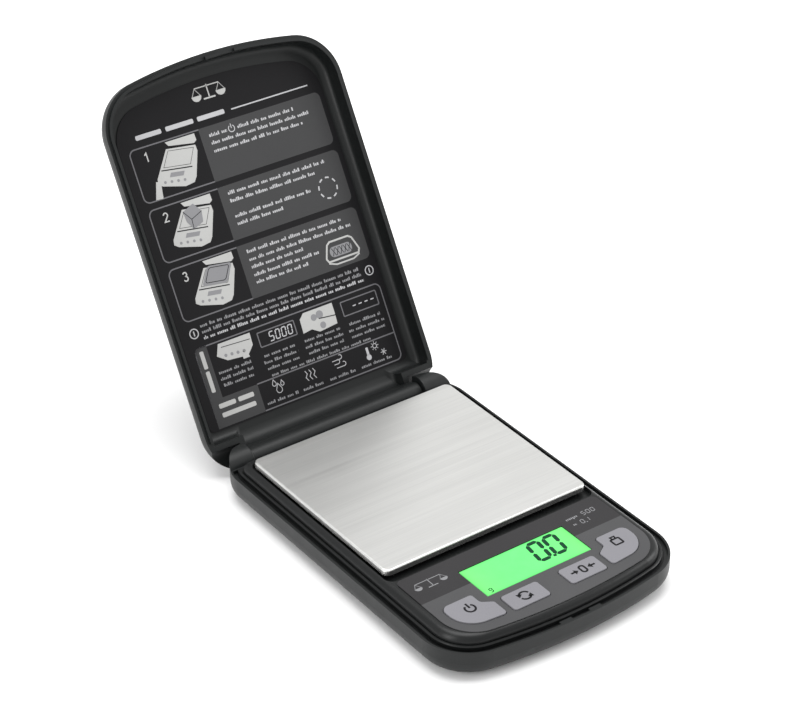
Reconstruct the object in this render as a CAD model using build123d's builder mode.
from build123d import *
from math import cos, radians, sin, sqrt
import os

os.makedirs("parts", exist_ok=True)

# Pocket scale with a fold-over lid, in millimetres.
# X runs along the hinge, Y from the control end to the hinge, Z up from the table.
# The origin is the middle of the base's footprint, on the plane its feet stand on.
# Every part is placed with the lid folded back on its stop.

# Overall size
body_width = 87.0
body_length = 128.4
foot_height = 0.8
base_height = 9.3
lid_height = 7.8
lid_open_angle = 120.9

# Plan outline of base and lid
front_bow_radius = 172.0
front_corner_radius = 16.0
back_corner_radius = 14.0

# Walls, seams and clearances
shell_wall = 1.9
shell_floor = 1.5
shell_edge_radius = 5.4
shell_inner_radius = 3.4
lid_wall = 2.1
lid_hollow_depth = 6.2
lid_edge_radius = 6.0
lid_inner_radius = 2.6
lid_cove_radius = 4.6
seam_gap = 0.1
running_clearance = 0.05
key_clearance = 0.2
rim_lip = 0.7
groove_width = 1.7
groove_depth = 1.1
tongue_depth = 0.8
tongue_clearance = 0.38

# Hinge
pin_radius = 1.2
pin_length = 8.4
pin_seat_depth = 3.6
lid_bore_depth = 5.2
ear_radius = 5.5
ear_width = 10.5
lid_knuckle_radius = 3.7
hinge_drop = 2.3
hinge_side_gap = 0.4
lid_notch_radius = 6.1

# Latch at the front
latch_width = 15.0
latch_slot_width = 6.4
latch_slot_depth = 1.7
catch_clearance = 0.4
catch_thickness = 1.0

# Control deck
deck_length = 44.4
deck_rise = 3.1
deck_inset = 3.45
deck_edge_radius = 2.6
deck_skin = 1.5
overlay_thickness = 0.25
overlay_margin = 6.5
overlay_front_margin = 5.3
window_depth = 14.0
key_to_window = 3.7
key_gap = 2.3
key_travel = 0.35
key_stand_up = 0.4
key_flange = 0.6

# Weighing pan
pan_side_margin = 6.0
pan_back_margin = 5.9
pan_rise = 1.9
pan_skirt = 2.0
pan_steel = 0.5
pan_corner_radius = 2.2
pan_gap = 0.8
deck_back_wall = 1.3

# Load cell
cell_width = 9.0
cell_height = 4.5
cell_screw_head = 1.3
cell_screw_clearance = 0.2
well_skin = 1.2
cell_slot_length = 10.5
cell_slot_height = 3.1

# Coin cells and their door
coin_radius = 10.0
coin_height = 3.2
coin_pitch = 21.5
coin_clearance = 0.3
coin_box_wall = 2.7
door_thickness = 1.2
door_ledge = 2.2
door_clearance = 0.1
strap_thickness = 0.25

# Electronics
board_thickness = 1.0
board_lift = 4.5
switch_height = 1.6
glass_thickness = 1.1

# Screws and feet
case_screw_inset = 7.5
case_screw_from_front = 32.2
case_screw_from_back = 13.4
foot_radius = 4.0
foot_seat = 0.4

# Heights that follow
shell_bottom = foot_height
shell_inside = shell_bottom + shell_floor
rim_z = foot_height + base_height
lid_rim_z = rim_z + seam_gap
lid_top_z = lid_rim_z + lid_height
groove_floor = rim_z - groove_depth
deck_z = rim_z + deck_rise
deck_under = deck_z - deck_skin
overlay_z = deck_z + overlay_thickness
pan_top_z = deck_z + pan_rise
lip_z = rim_z + 0.5
key_top_z = overlay_z + key_stand_up
coin_bottom_z = shell_bottom + door_thickness + strap_thickness

# Positions that follow
front_y = -body_length / 2
back_y = body_length / 2
half_width = body_width / 2
ear_inner_x = half_width - ear_width
hinge_y = back_y - lid_knuckle_radius
hinge_z = rim_z - hinge_drop
back_wall_y = hinge_y - lid_knuckle_radius - hinge_side_gap
pan_front_y = front_y + deck_length
pan_back_y = back_wall_y - pan_back_margin
pan_depth = pan_back_y - pan_front_y
pan_width = body_width - 2 * pan_side_margin
pan_y = (pan_front_y + pan_back_y) / 2
well_front_y = pan_front_y - 3.3
well_back_y = pan_back_y + pan_gap
well_floor = pan_top_z - pan_skirt - 1.5
cell_top = well_floor - well_skin - cell_screw_clearance - cell_screw_head
cell_lift = cell_top - cell_height - shell_inside
deck_back_y = well_back_y + deck_back_wall
lid_hollow_back_y = deck_back_y + 0.4
board_bottom = shell_inside + board_lift
board_top = board_bottom + board_thickness

# Keys and display, spaced outwards from the middle of the deck
overlay_width = body_width - 2 * overlay_margin
corner_key_x = overlay_width / 2 - 10.2
corner_key_reach = 7.4
middle_key_inner_x = 3.9
middle_key_width = corner_key_x - corner_key_reach - key_gap - middle_key_inner_x
middle_key_depth = 7.4
middle_key_x = middle_key_inner_x + middle_key_width / 2
window_width = 2 * (corner_key_x - middle_key_inner_x - key_to_window)
display_y = front_y + 26.9
power_spot = (-corner_key_x, front_y + 16.2)
mode_spot = (-middle_key_x, front_y + 13.5)
tare_spot = (middle_key_x, front_y + 13.5)
calibrate_spot = (corner_key_x, front_y + 16.2)

# Main board
board_front_y = front_y + 8.2
board_back_y = well_front_y - 2.4
board_half = half_width - 12.5
board_screw_y = board_back_y - 3.5
board_screw_spots = [(-board_half + 3, board_screw_y), (board_half - 3, board_screw_y)]
board_rest_spots = [(-board_half + 13, front_y + 10.7), (board_half - 13, front_y + 10.7)]

# Load cell, from under the pan's middle back to its fixed end
cell_front_y = pan_y - 4.35
cell_back_y = back_wall_y - 7.4
cell_screw_spots = [(0, cell_back_y - 8), (0, cell_back_y - 3)]
carrier_screw_spots = [(0, pan_y - 2.35), (0, pan_y + 2.35)]

# Coin cells, midway between the load cell and the side wall
coin_x = (cell_width / 2 + half_width - shell_wall) / 2
coin_mid_y = pan_y - 1.35
coin_spots = [(coin_x, coin_mid_y - coin_pitch / 2), (coin_x, coin_mid_y + coin_pitch / 2)]
coin_box_width = 2 * (coin_radius + coin_clearance + coin_box_wall)
coin_box_length = coin_pitch + coin_box_width - 0.5
door_width = coin_box_width - 1.6
door_length = coin_box_length - 1.6

# Case screws and feet
case_screw_x = half_width - case_screw_inset
case_screw_ys = (front_y + case_screw_from_front, back_wall_y - case_screw_from_back)
case_screw_spots = [(side * case_screw_x, y) for y in case_screw_ys for side in (-1, 1)]
front_foot_x = half_width - 12.5
rear_foot_x = half_width - 14.5
front_foot_y = front_y + 17.2
rear_foot_y = back_wall_y - 6.4
front_feet = [(-front_foot_x, front_foot_y), (front_foot_x, front_foot_y)]
rear_feet = [(-rear_foot_x, rear_foot_y), (rear_foot_x, rear_foot_y)]
foot_spots = front_feet + rear_feet

# The lid's own axes in the open pose: x along the hinge, y and z as they lie when shut
turn = radians(lid_open_angle)
lid_y_dir = Vector(0, cos(turn), -sin(turn))
lid_z_dir = Vector(0, sin(turn), cos(turn))
hinge_point = Vector(0, hinge_y, hinge_z)
lid_origin = hinge_point - lid_y_dir * hinge_y + lid_z_dir * (lid_rim_z - hinge_z)
lid_rim = Plane(origin=lid_origin, x_dir=(1, 0, 0), z_dir=lid_z_dir)
lid_side = Plane(origin=hinge_point, x_dir=lid_y_dir, z_dir=(1, 0, 0))
hinge_side = Plane(origin=hinge_point, x_dir=(0, 1, 0), z_dir=(1, 0, 0))


# Plan outline shared by the base and the lid: bowed front, straight sides, square back
bow_drop = front_bow_radius - sqrt(front_bow_radius**2 - half_width**2)
with BuildSketch() as footprint:
    with BuildLine():
        left_front = (-half_width, front_y + bow_drop)
        right_front = (half_width, front_y + bow_drop)
        ThreePointArc(left_front, (0, front_y), right_front)
        Polyline(right_front, (half_width, back_y), (-half_width, back_y), left_front)
    make_face()
    fillet(footprint.vertices().group_by(Axis.Y)[0], front_corner_radius)
    fillet(footprint.vertices().group_by(Axis.Y)[-1], back_corner_radius)

# The closed base as one plain block, used to trim the hinge ears to the outline
with BuildPart() as outline_block:
    with BuildSketch(Plane.XY.offset(shell_bottom)):
        add(footprint.sketch)
    extrude(amount=base_height + 8)
    fillet(outline_block.faces().sort_by(Axis.Z)[0].edges(), shell_edge_radius)

# Hinge ears: barrels about the hinge axis at the two back corners
with BuildPart() as ears:
    for side in (-1, 1):
        with BuildSketch(hinge_side.offset(side * (ear_inner_x + half_width) / 2)):
            Circle(ear_radius)
        extrude(amount=(half_width - ear_inner_x) / 2, both=True)
    add(outline_block.part, mode=Mode.INTERSECT)
    ear_rims = ears.edges().filter_by(GeomType.CIRCLE)
    fillet(ear_rims.filter_by(lambda rim: abs(abs(rim.center().X) - ear_inner_x) < 0.01), 0.3)

# Bottom shell: tub with rounded underside, groove round its rim, latch tab, bosses and coin bay
with BuildPart() as bottom_shell:
    with BuildSketch(Plane.XY.offset(shell_bottom)):
        add(footprint.sketch)
    extrude(amount=base_height)
    fillet(bottom_shell.faces().sort_by(Axis.Z)[0].edges(), shell_edge_radius)
    # room for the lid's knuckle between the ears
    with BuildSketch(Plane.XY):
        with Locations((0, (back_wall_y + back_y) / 2 + 5)):
            Rectangle(2 * ear_inner_x, back_y - back_wall_y + 10)
    extrude(amount=rim_z, mode=Mode.SUBTRACT)
    # inside of the tub
    with BuildSketch(Plane.XY.offset(shell_inside)):
        offset(footprint.sketch, amount=-shell_wall)
        with Locations((0, back_wall_y - 1.5 + 25)):
            Rectangle(2 * body_width, 50, mode=Mode.SUBTRACT)
    extrude(amount=base_height, mode=Mode.SUBTRACT)
    tub_floor = bottom_shell.faces().filter_by(Plane.XY).group_by(Axis.Z)[1][0]
    fillet(tub_floor.outer_wire().edges(), shell_inner_radius)
    # groove that takes the lid's tongue
    with BuildSketch(Plane.XY.offset(groove_floor)):
        offset(footprint.sketch, amount=-rim_lip)
        with Locations((0, back_wall_y - 1.5 + 25)):
            Rectangle(2 * body_width, 50, mode=Mode.SUBTRACT)
    extrude(amount=groove_depth + 1, mode=Mode.SUBTRACT)
    # latch tab that bridges the groove at the front, with a slot for the lid's catch
    with BuildSketch(Plane.XY.offset(groove_floor - 1.0)):
        offset(footprint.sketch, amount=-rim_lip / 2)
        with Locations((0, front_y + 1.1)):
            Rectangle(latch_width, 1.6, mode=Mode.INTERSECT)
    extrude(amount=groove_depth + 1.0)
    with BuildSketch(Plane.XY.offset(rim_z - 2.0)):
        with Locations((0, front_y + 1.75)):
            Rectangle(latch_slot_width, latch_slot_depth)
    extrude(amount=2.5, mode=Mode.SUBTRACT)
    # posts for the case screws
    with BuildSketch(Plane.XY.offset(shell_inside - 0.2)):
        with Locations(*case_screw_spots):
            Circle(3.2)
    extrude(amount=5.7)
    # posts for the board
    with BuildSketch(Plane.XY.offset(shell_inside - 0.2)):
        with Locations(*board_screw_spots, *board_rest_spots):
            Circle(2.4)
    extrude(amount=board_lift + 0.2)
    # pad under the fixed end of the load cell, and the overload stop under its free end
    with BuildSketch(Plane.XY.offset(shell_inside - 0.2)):
        with Locations((0, cell_back_y - 5.5)):
            Rectangle(13, 13)
    extrude(amount=cell_lift + 0.2)
    with BuildSketch(Plane.XY.offset(shell_inside - 0.2)):
        with Locations((0, pan_y)):
            Circle(3.0)
    extrude(amount=cell_lift - 0.3)
    # box round the coin cells
    with BuildSketch(Plane.XY.offset(shell_bottom)):
        with Locations((coin_x, coin_mid_y)):
            RectangleRounded(coin_box_width, coin_box_length, 3)
    extrude(amount=coin_bottom_z + coin_height + coin_clearance + 1.2 - shell_bottom)
    with BuildSketch(Plane.XY):
        with Locations(*coin_spots):
            Circle(coin_radius + coin_clearance)
        with Locations((coin_x, coin_mid_y)):
            Rectangle(12, coin_pitch)
    extrude(amount=coin_bottom_z + coin_height + coin_clearance, mode=Mode.SUBTRACT)
    # recess for the door
    with BuildSketch(Plane.XY):
        with Locations((coin_x, coin_mid_y)):
            RectangleRounded(door_width, door_length, door_ledge)
    extrude(amount=shell_bottom + door_thickness, mode=Mode.SUBTRACT)
    # barrels of the ears
    add(ears.part)
    # blind bores for the hinge pins
    for side in (-1, 1):
        with BuildSketch(hinge_side.offset(side * ear_inner_x)):
            Circle(pin_radius)
        extrude(amount=side * pin_seat_depth, mode=Mode.SUBTRACT)
    # case screw counterbores
    with Locations(Plane((0, 0, shell_bottom), x_dir=(1, 0, 0), z_dir=(0, 0, -1))):
        with Locations(*[(x, -y) for x, y in case_screw_spots]):
            CounterBoreHole(1.3, 2.5, 1.8, depth=8)
    # pilot holes
    with Locations(Plane.XY.offset(board_bottom)):
        with Locations(*board_screw_spots):
            Hole(0.9, depth=3.5)
    with Locations(Plane.XY.offset(shell_inside + cell_lift)):
        with Locations(*cell_screw_spots):
            Hole(1.0, depth=2.4)
    # shallow seats for the feet
    with BuildSketch(Plane.XY.offset(shell_bottom)):
        with Locations(*foot_spots):
            Circle(foot_radius + 0.2)
    extrude(amount=foot_seat, mode=Mode.SUBTRACT)

bottom_shell.part.label = "bottom_shell"
export_step(bottom_shell.part, "parts/bottom_shell.step")

# One key cap outline at the corner of the deck, hooked round the end of the display
with BuildSketch() as corner_key:
    with BuildLine():
        hook_points = [(-corner_key_reach, -5.9), (-corner_key_reach, 0.4), (-3.9, 2.6)]
        Polyline((-0.5, -5.3), *hook_points, (-3.9, 6.8), (7.1, 6.8), (7.1, 2.8))
        ThreePointArc((7.1, 2.8), (4.72, -2.94), (-0.5, -5.3))
    make_face()
    fillet(corner_key.vertices().sort_by_distance((7.1, 6.8))[0], 2.4)
    fillet(corner_key.vertices().sort_by_distance((-7.4, -5.9))[0], 1.2)
    fillet(corner_key.vertices().sort_by_distance((-7.4, 0.4))[0], 1.0)
    fillet(corner_key.vertices().sort_by_distance((-3.9, 6.8))[0], 1.0)
    fillet(corner_key.vertices().sort_by_distance((-3.9, 2.6))[0], 1.4)

with BuildSketch() as corner_key_mirrored:
    mirror(corner_key.sketch, about=Plane.YZ)

with BuildSketch() as middle_key:
    RectangleRounded(middle_key_width, middle_key_depth, 1.1)

# Each key shape also gives a slightly larger opening and a wider flange
with BuildSketch() as corner_opening:
    offset(corner_key.sketch, amount=key_clearance)
with BuildSketch() as corner_flange:
    offset(corner_key.sketch, amount=key_flange)
with BuildSketch() as mirrored_opening:
    mirror(corner_opening.sketch, about=Plane.YZ)
with BuildSketch() as mirrored_flange:
    mirror(corner_flange.sketch, about=Plane.YZ)
with BuildSketch() as middle_opening:
    offset(middle_key.sketch, amount=key_clearance)
with BuildSketch() as middle_flange:
    offset(middle_key.sketch, amount=key_flange)

key_layout = [
    ("key_power", power_spot, corner_key_mirrored, mirrored_opening, mirrored_flange),
    ("key_mode", mode_spot, middle_key, middle_opening, middle_flange),
    ("key_tare", tare_spot, middle_key, middle_opening, middle_flange),
    ("key_calibrate", calibrate_spot, corner_key, corner_opening, corner_flange),
]

# Outline of the glued overlay, parallel to the bowed front
with BuildSketch() as overlay_outline:
    with BuildLine():
        overlay_front = front_y + overlay_front_margin
        overlay_drop = 3.6
        overlay_left = (-overlay_width / 2, overlay_front + overlay_drop)
        overlay_right = (overlay_width / 2, overlay_front + overlay_drop)
        ThreePointArc(overlay_left, (0, overlay_front), overlay_right)
        overlay_back = well_front_y - 0.5
        overlay_corners = [(overlay_width / 2, overlay_back), (-overlay_width / 2, overlay_back)]
        Polyline(overlay_right, *overlay_corners, overlay_left)
    make_face()
    fillet(overlay_outline.vertices().group_by(Axis.Y)[0], 11.5)
    fillet(overlay_outline.vertices().group_by(Axis.Y)[-1], 1.8)

# Raised deck with its rounded edge, cut off square in front of the hinge
with BuildPart() as deck_mound:
    with BuildSketch(Plane.XY.offset(lip_z - 0.4)):
        offset(footprint.sketch, amount=-deck_inset)
    extrude(amount=deck_z - lip_z + 0.4)
    mound_radius = min(deck_edge_radius, 0.87 * (deck_z - lip_z + 0.4))
    fillet(deck_mound.faces().sort_by(Axis.Z)[-1].edges(), mound_radius)
    with BuildSketch(Plane.XY.offset(lip_z - 1)):
        with Locations((0, deck_back_y + 25)):
            Rectangle(2 * body_width, 50)
    extrude(amount=10, mode=Mode.SUBTRACT)

# Top cover: lip, raised deck with rounded edge, well for the pan, openings for keys and display
with BuildPart() as top_cover:
    with BuildSketch(Plane.XY.offset(groove_floor - 1.4)):
        offset(footprint.sketch, amount=-(shell_wall + seam_gap))
        with Locations((0, back_wall_y - 1.6 + 25)):
            Rectangle(2 * body_width, 50, mode=Mode.SUBTRACT)
    extrude(amount=1.4)
    with BuildSketch(Plane.XY.offset(groove_floor)):
        offset(footprint.sketch, amount=-(rim_lip + groove_width))
        with Locations((0, back_wall_y - 1.6 + 25)):
            Rectangle(2 * body_width, 50, mode=Mode.SUBTRACT)
    extrude(amount=lip_z - groove_floor)
    chamfer(top_cover.faces().sort_by(Axis.Z)[-1].edges(), 0.25)
    with BuildSketch(Plane.XY.offset(lip_z - 0.4)):
        offset(footprint.sketch, amount=-(deck_inset - 0.3))
        with Locations((0, deck_back_y + 25)):
            Rectangle(2 * body_width, 50, mode=Mode.SUBTRACT)
        offset(footprint.sketch, amount=-deck_inset, mode=Mode.SUBTRACT)
    extrude(amount=1, mode=Mode.SUBTRACT)
    # lower strip behind the deck, under the back corners of the shut lid
    with BuildSketch(Plane.XY.offset(rim_z)):
        with Locations((0, deck_back_y + 25)):
            Rectangle(2 * body_width, 50)
    extrude(amount=5, mode=Mode.SUBTRACT)
    add(deck_mound.part)
    # well for the pan
    with BuildSketch(Plane.XY.offset(well_floor)):
        with Locations((0, (well_front_y + well_back_y) / 2)):
            RectangleRounded(pan_width + 2 * pan_gap, well_back_y - well_front_y, 3)
    extrude(amount=5, mode=Mode.SUBTRACT)
    # hollow underside: low under the well, high under the deck
    with BuildSketch(Plane.XY.offset(groove_floor - 3)):
        offset(footprint.sketch, amount=-(shell_wall + 1.7))
        with Locations((0, deck_back_y - 1.2 + 25)):
            Rectangle(2 * body_width, 50, mode=Mode.SUBTRACT)
    extrude(amount=well_floor - well_skin - groove_floor + 3, mode=Mode.SUBTRACT)
    with BuildSketch(Plane.XY.offset(groove_floor - 3)):
        offset(footprint.sketch, amount=-(shell_wall + 3.6))
        with Locations((0, well_front_y - 1.5 + 60)):
            Rectangle(2 * body_width, 120, mode=Mode.SUBTRACT)
    extrude(amount=deck_under - groove_floor + 3, mode=Mode.SUBTRACT)
    # hole for the pan's post
    with BuildSketch(Plane.XY.offset(well_floor - 3)):
        with Locations((0, pan_y)):
            Circle(7.0)
    extrude(amount=5, mode=Mode.SUBTRACT)
    # screw posts under the well floor
    with BuildSketch(Plane.XY.offset(shell_inside + 5.55)):
        with Locations(*case_screw_spots):
            Circle(2.8)
    extrude(until=Until.NEXT)
    with Locations(Plane((0, 0, shell_inside + 5.55), x_dir=(1, 0, 0), z_dir=(0, 0, -1))):
        with Locations(*[(x, -y) for x, y in case_screw_spots]):
            Hole(1.2, depth=2.4)
    # display opening
    with BuildSketch(Plane.XY.offset(deck_under - 1)):
        with Locations((0, display_y)):
            Rectangle(window_width + 0.2, window_depth + 0.2)
    extrude(amount=5, mode=Mode.SUBTRACT)
    # key openings
    for name, spot, cap, opening, flange in key_layout:
        with BuildSketch(Plane.XY.offset(deck_under - 1)):
            with Locations(spot):
                add(opening.sketch)
        extrude(amount=5, mode=Mode.SUBTRACT)
top_cover.part.label = "top_cover"
export_step(top_cover.part, "parts/top_cover.step")

# Glued overlay with cut-outs for the window and keys
with BuildPart() as control_overlay:
    with BuildSketch(Plane.XY.offset(deck_z)):
        add(overlay_outline.sketch)
        with Locations((0, display_y)):
            Rectangle(window_width + 0.2, window_depth + 0.2, mode=Mode.SUBTRACT)
        for name, spot, cap, opening, flange in key_layout:
            with Locations(spot):
                add(opening.sketch, mode=Mode.SUBTRACT)
    extrude(amount=overlay_thickness)
control_overlay.part.label = "control_overlay"
export_step(control_overlay.part, "parts/control_overlay.step")

# Keys: cap, retaining flange under the deck, stem that enters its switch
flange_top_z = deck_under - 0.05
switch_top_z = board_top + switch_height
for name, spot, cap, opening, flange in key_layout:
    with BuildPart() as key:
        with BuildSketch(Plane.XY.offset(flange_top_z)):
            with Locations(spot):
                add(cap.sketch)
        extrude(amount=key_top_z - flange_top_z)
        fillet(key.faces().sort_by(Axis.Z)[-1].edges(), 0.25)
        with BuildSketch(Plane.XY.offset(flange_top_z - 0.7)):
            with Locations(spot):
                add(flange.sketch)
        extrude(amount=0.7)
        with BuildSketch(Plane.XY.offset(switch_top_z - 0.2)):
            with Locations(spot):
                Circle(1.4)
        extrude(until=Until.NEXT)
    key.part.label = name
    export_step(key.part, f"parts/{name}.step")

    with BuildPart() as switch:
        with BuildSketch(Plane.XY.offset(board_top)):
            with Locations(spot):
                RectangleRounded(6, 6, 0.6)
        extrude(amount=switch_height)
        chamfer(switch.faces().sort_by(Axis.Z)[-1].edges(), 0.15)
        with Locations(Plane.XY.offset(switch_top_z)):
            with Locations(spot):
                Hole(1.7, depth=0.7)
    switch_name = name.replace("key_", "switch_")
    switch.part.label = switch_name
    export_step(switch.part, f"parts/{switch_name}.step")

# Display stack: window, glass cell, light guide, contact strip
glass_top_z = deck_under - 0.1
glass_bottom_z = glass_top_z - glass_thickness
with BuildPart() as display_window:
    with BuildSketch(Plane.XY.offset(deck_under - 0.05)):
        with Locations((0, display_y)):
            RectangleRounded(window_width, window_depth, 0.4)
    extrude(amount=overlay_z - deck_under - 0.05)
    chamfer(display_window.faces().sort_by(Axis.Z)[-1].edges(), 0.12)
display_window.part.label = "display_window"
export_step(display_window.part, "parts/display_window.step")

with BuildPart() as display_glass:
    with BuildSketch(Plane.XY.offset(glass_bottom_z)):
        with Locations((0, display_y)):
            Rectangle(window_width + 4, 17)
    extrude(amount=glass_thickness)
    chamfer(display_glass.edges().filter_by(Axis.Z), 0.5)
display_glass.part.label = "display_glass"
export_step(display_glass.part, "parts/display_glass.step")

with BuildPart() as backlight:
    with BuildSketch(Plane.XY.offset(board_top)):
        with Locations((0, display_y + 1)):
            Rectangle(window_width + 2.8, 14)
    extrude(amount=glass_bottom_z - board_top - 0.05)
    with BuildSketch(Plane.XY.offset(board_top)):
        with GridLocations(14, 0, 2, 1):
            with Locations((0, display_y + 8.4)):
                Rectangle(4, 0.8)
    extrude(amount=1.4)
backlight.part.label = "backlight"
export_step(backlight.part, "parts/backlight.step")

with BuildPart() as contact_strip:
    with BuildSketch(Plane.XY.offset(board_top)):
        with Locations((0, display_y - 7.35)):
            Rectangle(window_width - 0.4, 1.9)
    extrude(amount=glass_bottom_z - board_top - 0.02)
    fillet(contact_strip.edges().filter_by(Axis.X), 0.3)
contact_strip.part.label = "contact_strip"
export_step(contact_strip.part, "parts/contact_strip.step")

# Main board, its processor and screws
with BuildPart() as main_board:
    with BuildSketch(Plane.XY.offset(board_bottom)):
        with Locations((0, (board_front_y + board_back_y) / 2)):
            Rectangle(2 * board_half, board_back_y - board_front_y)
    extrude(amount=board_thickness)
    fillet(main_board.edges().filter_by(Axis.Z).group_by(Axis.Y)[0], 9)
    fillet(main_board.edges().filter_by(Axis.Z).group_by(Axis.Y)[-1], 1.5)
    with Locations(Plane.XY.offset(board_top)):
        with Locations(*board_screw_spots):
            Hole(1.1)
main_board.part.label = "main_board"
export_step(main_board.part, "parts/main_board.step")

with BuildPart() as processor:
    with BuildSketch(Plane.XY.offset(board_bottom - 1.4)):
        with Locations((0, front_y + 24.2)):
            Rectangle(10, 10)
    extrude(amount=1.4)
    chamfer(processor.faces().sort_by(Axis.Z)[0].edges(), 0.35)
processor.part.label = "processor"
export_step(processor.part, "parts/processor.step")

# Screws: one recipe of head, shank and cross recess for each place
carrier_seat_z = pan_top_z - pan_steel - 1.1
carrier_shank = carrier_seat_z - shell_inside - cell_lift - 0.5
screw_layout = []
for number, (x, y) in enumerate(board_screw_spots, 1):
    screw_layout.append((f"board_screw_{number}", x, y, board_top, 1, 1.8, 1.1, 0.88, 2.9))
for number, (x, y) in enumerate(cell_screw_spots, 1):
    screw_layout.append((f"load_cell_screw_{number}", x, y, cell_top, 1, 2.0, cell_screw_head, 0.98, cell_height + 2.2))
for number, (x, y) in enumerate(carrier_screw_spots, 1):
    screw_layout.append((f"carrier_screw_{number}", x, y, carrier_seat_z, 1, 1.9, 0.9, 0.98, carrier_shank))
for number, (x, y) in enumerate(case_screw_spots, 1):
    screw_layout.append((f"case_screw_{number}", x, y, shell_bottom + 1.8, -1, 2.3, 1.2, 1.18, 7.2))
for name, x, y, seat_z, up, head_radius, head_height, shank_radius, shank_length in screw_layout:
    seat = Plane(origin=(x, y, seat_z), x_dir=(1, 0, 0), z_dir=(0, 0, up))
    with BuildPart() as screw:
        with BuildSketch(seat):
            Circle(head_radius)
        extrude(amount=head_height)
        fillet(screw.faces().sort_by(Axis(seat.origin, seat.z_dir))[-1].edges(), 0.3)
        with BuildSketch(seat):
            Circle(shank_radius)
        extrude(amount=-shank_length)
        chamfer(screw.faces().sort_by(Axis(seat.origin, seat.z_dir))[0].edges(), 0.3)
        with BuildSketch(seat.offset(head_height)):
            Rectangle(head_radius * 1.3, 0.45)
            Rectangle(0.45, head_radius * 1.3)
        extrude(amount=-0.6, mode=Mode.SUBTRACT)
    screw.part.label = name
    export_step(screw.part, f"parts/{name}.step")

# Load cell: aluminium beam with a double-hole flexure
with BuildPart() as load_cell:
    with BuildSketch(Plane.XY.offset(shell_inside + cell_lift)):
        with Locations((0, (cell_front_y + cell_back_y) / 2)):
            Rectangle(cell_width, cell_back_y - cell_front_y)
    extrude(amount=cell_height)
    with BuildSketch(Plane.YZ.offset(-cell_width)):
        with Locations(((cell_front_y + cell_back_y) / 2 - 0.5, shell_inside + cell_lift + cell_height / 2)):
            SlotOverall(cell_slot_length, cell_slot_height)
    extrude(amount=2 * cell_width, mode=Mode.SUBTRACT)
    with Locations(Plane.XY.offset(shell_inside + cell_lift + cell_height)):
        with Locations(*cell_screw_spots):
            Hole(1.3)
        with Locations(*carrier_screw_spots):
            Hole(1.0)
load_cell.part.label = "load_cell"
export_step(load_cell.part, "parts/load_cell.step")

# Pan: folded stainless tray over a moulded carrier
with BuildPart() as weighing_pan:
    with BuildSketch(Plane.XY.offset(pan_top_z - pan_skirt)):
        with Locations((0, pan_y)):
            RectangleRounded(pan_width, pan_depth, pan_corner_radius)
    extrude(amount=pan_skirt)
    fillet(weighing_pan.faces().sort_by(Axis.Z)[-1].edges(), 0.55)
    with BuildSketch(Plane.XY.offset(pan_top_z - pan_skirt)):
        with Locations((0, pan_y)):
            inner_size = (pan_width - 2 * pan_steel, pan_depth - 2 * pan_steel)
            RectangleRounded(*inner_size, pan_corner_radius - pan_steel)
    extrude(amount=pan_skirt - pan_steel, mode=Mode.SUBTRACT)
weighing_pan.part.label = "weighing_pan"
export_step(weighing_pan.part, "parts/weighing_pan.step")

carrier_top_z = pan_top_z - pan_steel
with BuildPart() as pan_carrier:
    with BuildSketch(Plane.XY.offset(carrier_top_z - 1.6)):
        with Locations((0, pan_y)):
            RectangleRounded(pan_width - 1.4, pan_depth - 1.4, 1.6)
    extrude(amount=1.6)
    with BuildSketch(Plane.XY.offset(shell_inside + cell_lift + cell_height)):
        with Locations((0, pan_y)):
            RectangleRounded(8.6, 9.0, 1.5)
    extrude(until=Until.NEXT)
    with Locations(Plane.XY.offset(carrier_top_z)):
        with Locations(*carrier_screw_spots):
            CounterBoreHole(1.0, 2.1, 1.1)
pan_carrier.part.label = "pan_carrier"
export_step(pan_carrier.part, "parts/pan_carrier.step")

# Coin cells, roof contacts, door and the strap on it
for name, spot in zip(("front", "rear"), coin_spots):
    with BuildPart() as coin:
        with BuildSketch(Plane.XY.offset(coin_bottom_z)):
            with Locations(spot):
                Circle(coin_radius)
        extrude(amount=coin_height)
        chamfer(coin.edges().group_by(Axis.Z)[0], 0.6)
        fillet(coin.edges().group_by(Axis.Z)[-1], 0.2)
    coin.part.label = f"coin_cell_{name}"
    export_step(coin.part, f"parts/coin_cell_{name}.step")

    with BuildPart() as contact:
        with BuildSketch(Plane.XY.offset(coin_bottom_z + coin_height + 0.02)):
            with Locations(spot):
                RectangleRounded(6, 13, 1)
        extrude(amount=0.26)
    contact.part.label = f"battery_contact_{name}"
    export_step(contact.part, f"parts/battery_contact_{name}.step")

with BuildPart() as battery_door:
    with BuildSketch(Plane.XY.offset(shell_bottom)):
        with Locations((coin_x, coin_mid_y)):
            RectangleRounded(door_width - 2 * door_clearance, door_length - 2 * door_clearance, 2.1)
    extrude(amount=door_thickness - 0.05)
    with BuildSketch(Plane.XY.offset(shell_bottom)):
        with Locations((coin_x, coin_mid_y - 15)):
            with GridLocations(0, 2, 1, 3):
                SlotOverall(10, 0.8)
    extrude(amount=0.4, mode=Mode.SUBTRACT)
battery_door.part.label = "battery_door"
export_step(battery_door.part, "parts/battery_door.step")

with BuildPart() as battery_strap:
    with BuildSketch(Plane.XY.offset(shell_bottom + door_thickness - 0.05)):
        with Locations((coin_x, coin_mid_y)):
            RectangleRounded(8, 24, 1)
    extrude(amount=strap_thickness)
battery_strap.part.label = "battery_strap"
export_step(battery_strap.part, "parts/battery_strap.step")

# Feet
for number, (x, y) in enumerate(foot_spots, 1):
    with BuildPart() as foot:
        with BuildSketch(Plane.XY):
            with Locations((x, y)):
                Circle(foot_radius)
        extrude(amount=foot_height + foot_seat - 0.02)
        fillet(foot.edges().group_by(Axis.Z)[0], 0.3)
    foot.part.label = f"foot_{number}"
    export_step(foot.part, f"parts/foot_{number}.step")

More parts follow.
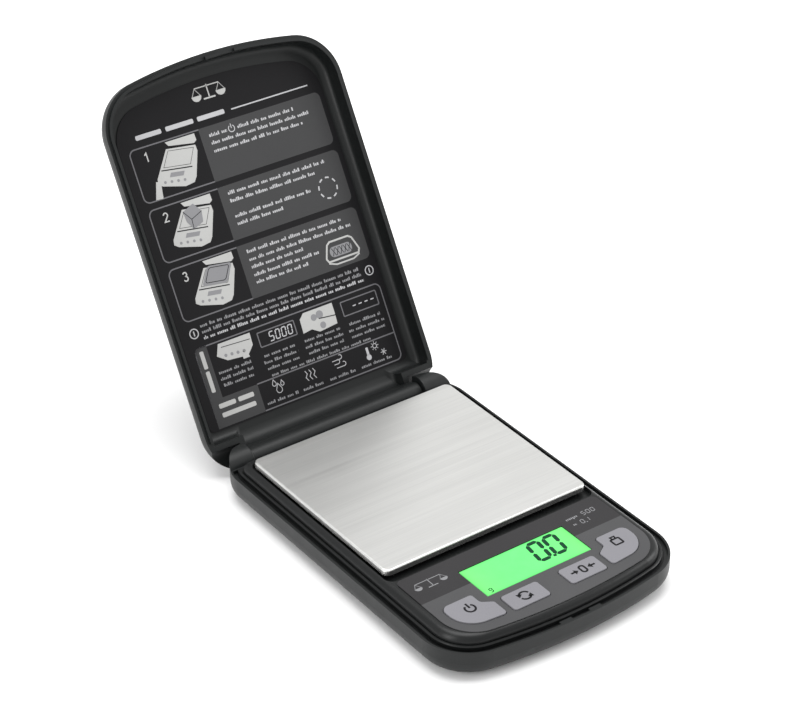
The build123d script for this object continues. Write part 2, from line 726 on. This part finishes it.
# Leads from the load cell and the coin box to the board
lead_layout = [
    ("sensor_lead", [(-5.1, 36, 5.4), (-8, 22, 4.2), (-10, -8, 4.0), (-12, -28, 6.15)]),
    ("battery_lead", [(16, -10.1, 5.6), (15, -16, 3.6), (12, -22, 3.6), (10, -28, 6.15)]),
]
for name, points in lead_layout:
    with BuildPart() as lead:
        with BuildLine() as lead_path:
            Spline(*points)
        with BuildSketch(Plane(origin=lead_path.line @ 0, z_dir=lead_path.line % 0)):
            Circle(0.6)
        sweep()
    lead.part.label = name
    export_step(lead.part, f"parts/{name}.step")

# Hinge pins: pressed into the ears, running in the lid's knuckle
for name, side in (("left", -1), ("right", 1)):
    with BuildPart() as pin:
        with BuildSketch(hinge_side.offset(side * (ear_inner_x + pin_seat_depth - 0.1))):
            Circle(pin_radius)
        extrude(amount=-side * pin_length)
        chamfer(pin.edges().filter_by(GeomType.CIRCLE), 0.2)
    pin.part.label = f"hinge_pin_{name}"
    export_step(pin.part, f"parts/hinge_pin_{name}.step")

# Lid: shallow tray with rounded edge, tongue, catch and hinge knuckle
knuckle_x = ear_inner_x - hinge_side_gap
lid_up = Axis(lid_origin, lid_z_dir)
with BuildPart() as lid_shell:
    with BuildSketch(lid_rim):
        add(footprint.sketch)
    extrude(amount=lid_height)
    fillet(lid_shell.faces().sort_by(lid_up)[-1].edges(), lid_edge_radius)
    # hollow over pan and deck
    with BuildSketch(lid_rim):
        offset(footprint.sketch, amount=-lid_wall)
        with Locations((0, lid_hollow_back_y + 25)):
            Rectangle(2 * body_width, 50, mode=Mode.SUBTRACT)
        with Locations((0, back_wall_y - 8.4)):
            Rectangle(2 * knuckle_x - 4, 18)
    extrude(amount=lid_hollow_depth, mode=Mode.SUBTRACT)
    level_faces = lid_shell.faces().filter_by(Plane(origin=lid_origin, z_dir=lid_z_dir))
    lid_floor = level_faces.sort_by(lid_up)[-2]
    fillet(lid_floor.outer_wire().edges(), lid_inner_radius)
    # wide cove along the back of the hollow, over the knuckle
    cove_wall = back_wall_y + 0.6 - hinge_y
    cove_floor = lid_rim_z + lid_hollow_depth - hinge_z
    cove_start = (cove_wall - lid_cove_radius, cove_floor)
    cove_end = (cove_wall, cove_floor - lid_cove_radius)
    cove_bulge = lid_cove_radius * (1 - sqrt(0.5))
    with BuildSketch(lid_side):
        with BuildLine():
            ThreePointArc(cove_start, (cove_wall - cove_bulge, cove_floor - cove_bulge), cove_end)
            behind_wall = [(cove_wall + 1, cove_end[1]), (cove_wall + 1, cove_floor + 0.5)]
            Polyline(cove_end, *behind_wall, (cove_start[0], cove_floor + 0.5), cove_start)
        make_face()
    extrude(amount=knuckle_x - 1.8, both=True)
    # tongue that drops into the base's groove, broken at the latch tab
    with BuildSketch(lid_rim.offset(0.5)):
        offset(footprint.sketch, amount=-(rim_lip + tongue_clearance))
        offset(footprint.sketch, amount=-(rim_lip + groove_width - tongue_clearance), mode=Mode.SUBTRACT)
        with Locations((0, lid_hollow_back_y - 1.0 + 25)):
            Rectangle(2 * body_width, 50, mode=Mode.SUBTRACT)
        with Locations((0, front_y)):
            Rectangle(latch_width + 1, 12, mode=Mode.SUBTRACT)
    extrude(amount=-(0.5 + tongue_depth))
    # catch
    with BuildSketch(lid_rim.offset(0.5)):
        with Locations((0, front_y + 1.75)):
            Rectangle(latch_slot_width - 2 * catch_clearance, catch_thickness)
    extrude(amount=-1.6)
    # knuckle between the ears
    with BuildSketch(lid_side):
        Circle(lid_knuckle_radius)
        with Locations((0, 2.2)):
            Rectangle(2 * lid_knuckle_radius, 4.4)
    extrude(amount=knuckle_x, both=True)
    # room for the ears, outboard of the knuckle
    for side in (-1, 1):
        with BuildSketch(lid_side.offset(side * knuckle_x)):
            Circle(lid_notch_radius)
        extrude(amount=side * 20, mode=Mode.SUBTRACT)
        with BuildSketch(Plane.XY.offset(-10)):
            with Locations((side * (knuckle_x + 10), back_y + 0.15 - 15)):
                Rectangle(20, 30)
        extrude(amount=45, mode=Mode.SUBTRACT)
    # pin bores
    for side in (-1, 1):
        with BuildSketch(lid_side.offset(side * (knuckle_x + 1))):
            Circle(pin_radius + running_clearance)
        extrude(amount=-side * (lid_bore_depth + 1), mode=Mode.SUBTRACT)
lid_shell.part.label = "lid_shell"
export_step(lid_shell.part, "parts/lid_shell.step")

# Guide card glued to the lid's floor
with BuildPart() as guide_card:
    with BuildSketch(lid_rim.offset(lid_hollow_depth - 0.02)) as guide_card_sketch:
        with BuildLine():
            card_half = half_width - 5.3
            card_front = front_y + 7.2
            card_back = back_wall_y - 6.4
            card_left = (-card_half, card_front + 4.8)
            card_right = (card_half, card_front + 4.8)
            ThreePointArc(card_left, (0, card_front), card_right)
            Polyline(card_right, (card_half, card_back), (-card_half, card_back), card_left)
        make_face()
        fillet(guide_card_sketch.vertices().group_by(Axis.Y)[0], 12)
        fillet(guide_card_sketch.vertices().group_by(Axis.Y)[-1], 2)
    extrude(amount=-0.3)
guide_card.part.label = "guide_card"
export_step(guide_card.part, "parts/guide_card.step")
